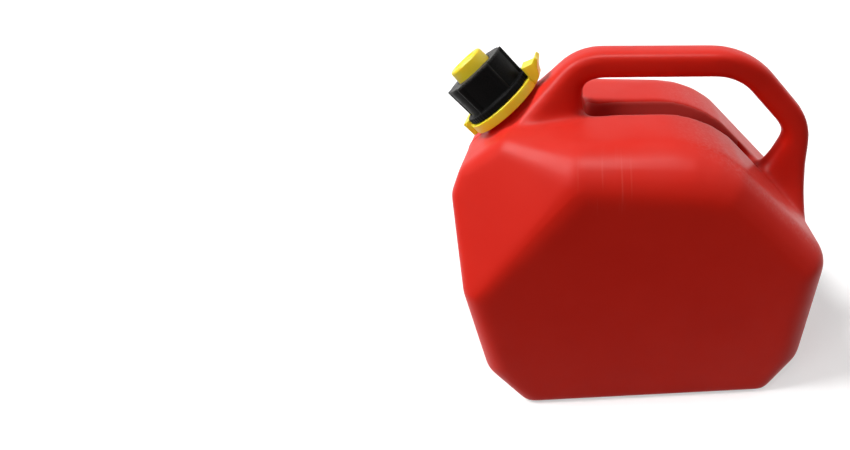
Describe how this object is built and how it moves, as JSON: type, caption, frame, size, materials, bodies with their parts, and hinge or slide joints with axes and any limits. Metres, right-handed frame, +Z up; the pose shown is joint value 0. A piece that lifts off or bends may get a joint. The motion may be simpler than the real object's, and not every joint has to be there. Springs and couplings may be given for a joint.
{
  "type": "petrol can",
  "caption": "Hollow plastic petrol can with a moulded carrying handle, a screw collar that holds the stowed spout and its stopper, and a lock ring with a thumb lever.",
  "frame": {"origin": "on the ground under the tank, in its middle plane", "axes": "+Z up, -X towards the front with the neck and the label, Y across the width"},
  "size_m": [0.3053, 0.188, 0.3084],
  "materials": {
    "tank_plastic": "soft gloss red, blow moulded",
    "yellow_plastic": "soft gloss yellow, injection moulded",
    "collar_plastic": "matt black, fine grain",
    "gasket_rubber": "smooth black rubber",
    "label_film": null
  },
  "bodies": {
    "tank_body": {"tank": "tank_plastic", "lock_ring": "yellow_plastic", "front_label": "label_film"},
    "closure": {"spout": "yellow_plastic", "stopper": "yellow_plastic", "neck_gasket": "gasket_rubber"},
    "collar": {"screw_collar": "collar_plastic"},
    "lever": {"lock_lever": "yellow_plastic"}
  },
  "joints": [
    {"name": "closure_lift", "type": "slide", "parent": "tank_body", "child": "closure", "axis": [-0.6088, 0, 0.7934], "range_m": [0, 0.0101]},
    {"name": "collar_turn", "type": "hinge", "parent": "closure", "child": "collar", "pos_m": [-0.10187, 0, 0.25933], "axis": [-0.6088, 0, 0.7934], "range_deg": [0, 720]},
    {"name": "lever_press", "type": "hinge", "parent": "tank_body", "child": "lever", "pos_m": [-0.08065, 0, 0.28293], "axis": [0, 1, 0], "range_deg": [0, 12], "stiffness_Nm_per_rad": 0.2}
  ],
  "couplings": [
    {"joint": "closure_lift", "follows": "collar_turn", "m_per_rad": 0.00079577}
  ]
}
